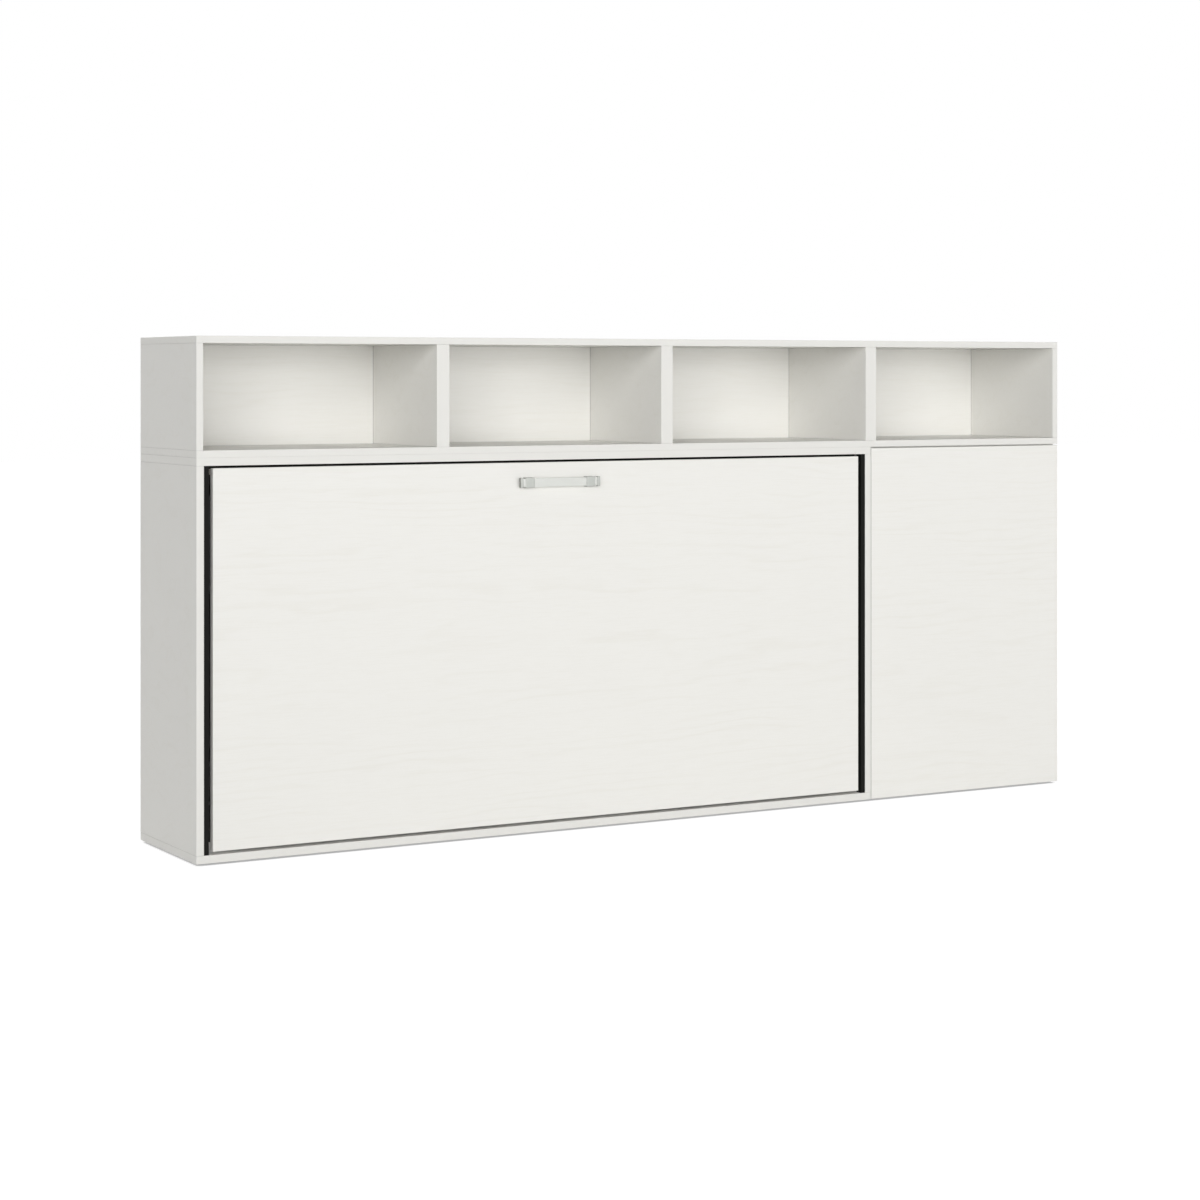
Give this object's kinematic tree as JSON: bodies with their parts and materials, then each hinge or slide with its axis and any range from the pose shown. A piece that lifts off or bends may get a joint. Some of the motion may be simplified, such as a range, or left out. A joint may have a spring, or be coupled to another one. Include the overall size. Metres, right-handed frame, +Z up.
{
  "type": "wall bed with fold down desk",
  "caption": "Low horizontal wall bed with open bays above it and a cabinet beside it whose full-height front swings down as a desk.",
  "frame": {"origin": "middle of the footprint, on the floor", "axes": "+X to the right seen from the front, the front faces -Y, +Z up"},
  "size_m": [2.7732, 0.428, 1.34],
  "materials": {
    "board": "white ash-effect melamine",
    "back_board": "white ash-effect melamine",
    "front_board": "white ash-effect melamine",
    "dark_strip": "matt",
    "glide": "matt",
    "zinc_steel": "zinc-plated",
    "handle_bar": "frosted",
    "satin_metal": "satin anodised",
    "black_steel": "satin powder coat",
    "slat_wood": "clear lacquer",
    "black_plastic": "moulded",
    "mattress": "quilted knit",
    "webbing": "woven",
    "chrome_rod": "polished",
    "grey_steel": "satin powder coat",
    "belt_rubber": "toothed",
    "grey_plastic": "moulded"
  },
  "bodies": {
    "cabinet": {"upper_top_board": "board", "upper_bottom_board": "board", "upper_left_end": "board", "upper_right_end": "board", "upper_divider_left": "board", "upper_divider_middle": "board", "upper_divider_right": "board", "upper_back_panels": "back_board", "bed_side_left": "board", "bed_side_right": "board", "bed_top_board": "board", "bed_bottom_board": "board", "rear_rails": "board", "filler_strips": "dark_strip", "floor_glides": "glide", "wall_brackets": "zinc_steel", "bed_pivot_plates": "zinc_steel", "link_pivot_studs": "zinc_steel", "strut_side_studs": "zinc_steel", "side_end_panel": "board", "side_inner_panel": "board", "side_bottom_board": "board", "side_top_board": "board", "side_back_panel": "back_board", "side_shelves": "board", "shelf_pins": "zinc_steel", "arm_bearing_plates": "zinc_steel", "arm_fixed_pulleys": "black_plastic", "push_latch_body": "grey_plastic"},
    "bed": {"bed_front_panel": "front_board", "handle_bar": "handle_bar", "handle_blocks": "satin_metal", "handle_end_caps": "satin_metal", "bed_frame_long_tubes": "black_steel", "bed_frame_end_tubes": "black_steel", "bed_frame_cross_bars": "black_steel", "bed_slats": "slat_wood", "slat_holders": "black_plastic", "mattress": "mattress", "mattress_straps": "webbing", "bed_pivot_pins": "zinc_steel", "bed_frame_pins": "zinc_steel"},
    "bed_leg_left": {"bed_leg_left": "black_steel"},
    "bed_leg_right": {"bed_leg_right": "black_steel"},
    "link_left": {"link_rod_left": "black_steel"},
    "link_right": {"link_rod_right": "black_steel"},
    "strut_left": {"strut_cylinder_left": "black_steel"},
    "strut_right": {"strut_cylinder_right": "black_steel"},
    "strut_rod_left": {"strut_rod_left": "chrome_rod"},
    "strut_rod_right": {"strut_rod_right": "chrome_rod"},
    "arm_left": {"desk_arm_left": "grey_steel", "arm_belt_left": "belt_rubber"},
    "arm_right": {"desk_arm_right": "grey_steel", "arm_belt_right": "belt_rubber"},
    "desk": {"desk_front": "front_board", "front_hinge_brackets": "zinc_steel", "desk_leg_brackets": "zinc_steel"},
    "desk_leg": {"desk_leg": "grey_steel", "desk_leg_glides": "glide"},
    "latch": {"push_latch_plunger": "zinc_steel"}
  },
  "joints": [
    {"name": "bed_fold", "type": "hinge", "parent": "cabinet", "child": "bed", "pos_m": [-0.34665, -0.154, 0.25], "axis": [1, 0, 0], "range_deg": [0, 90]},
    {"name": "bed_leg_left_fold", "type": "hinge", "parent": "bed", "child": "bed_leg_left", "pos_m": [-1.3366, -0.161, 0.929], "axis": [1, 0, 0], "range_deg": [-91, 1]},
    {"name": "link_left_turn", "type": "hinge", "parent": "cabinet", "child": "link_left", "pos_m": [-1.3366, -0.134, 0.27], "axis": [1, 0, 0], "range_deg": [-1, 91]},
    {"name": "strut_left_turn", "type": "hinge", "parent": "cabinet", "child": "strut_left", "pos_m": [-1.3366, 0.046, 0.55], "axis": [1, 0, 0], "range_deg": [-1, 9.13]},
    {"name": "strut_rod_left_slide", "type": "slide", "parent": "strut_left", "child": "strut_rod_left", "axis": [0, 0.4472, 0.8944], "range_m": [-0.001, 0.13199]},
    {"name": "bed_leg_right_fold", "type": "hinge", "parent": "bed", "child": "bed_leg_right", "pos_m": [0.6433, -0.161, 0.929], "axis": [1, 0, 0], "range_deg": [-91, 1]},
    {"name": "link_right_turn", "type": "hinge", "parent": "cabinet", "child": "link_right", "pos_m": [0.6433, -0.134, 0.27], "axis": [1, 0, 0], "range_deg": [-1, 91]},
    {"name": "strut_right_turn", "type": "hinge", "parent": "cabinet", "child": "strut_right", "pos_m": [0.6433, 0.046, 0.55], "axis": [1, 0, 0], "range_deg": [-1, 9.13]},
    {"name": "strut_rod_right_slide", "type": "slide", "parent": "strut_right", "child": "strut_rod_right", "axis": [0, 0.4472, 0.8944], "range_m": [-0.001, 0.13199]},
    {"name": "desk_fold", "type": "hinge", "parent": "cabinet", "child": "arm_left", "pos_m": [0.7139, -0.15599, 0.69998], "axis": [1, 0, 0], "range_deg": [0, 90]},
    {"name": "arm_right_turn", "type": "hinge", "parent": "cabinet", "child": "arm_right", "pos_m": [1.3661, -0.15599, 0.69998], "axis": [1, 0, 0], "range_deg": [-1, 91]},
    {"name": "desk_turn", "type": "hinge", "parent": "arm_left", "child": "desk", "pos_m": [1.04, -0.15599, 0.87399], "axis": [1, 0, 0], "range_deg": [-181, 1]},
    {"name": "desk_leg_fold", "type": "hinge", "parent": "desk", "child": "desk_leg", "pos_m": [1.04, -0.158, 0.0965], "axis": [1, 0, 0], "range_deg": [-91, 1]},
    {"name": "latch_push", "type": "slide", "parent": "cabinet", "child": "latch", "axis": [0, 1, 0], "range_m": [0, 0.003], "stiffness_N_per_m": 300}
  ],
  "couplings": [
    {"joint": "bed_leg_left_fold", "follows": "bed_fold", "ratio": -1},
    {"joint": "link_left_turn", "follows": "bed_fold", "ratio": 1},
    {"joint": "strut_left_turn", "follows": "bed_fold", "ratio": 0.090334},
    {"joint": "strut_rod_left_slide", "follows": "bed_fold", "m_per_rad": 0.083388},
    {"joint": "bed_leg_right_fold", "follows": "bed_fold", "ratio": -1},
    {"joint": "link_right_turn", "follows": "bed_fold", "ratio": 1},
    {"joint": "strut_right_turn", "follows": "bed_fold", "ratio": 0.090334},
    {"joint": "strut_rod_right_slide", "follows": "bed_fold", "m_per_rad": 0.083388},
    {"joint": "arm_right_turn", "follows": "desk_fold", "ratio": 1},
    {"joint": "desk_turn", "follows": "desk_fold", "ratio": -2},
    {"joint": "desk_leg_fold", "follows": "desk_fold", "ratio": -1}
  ]
}
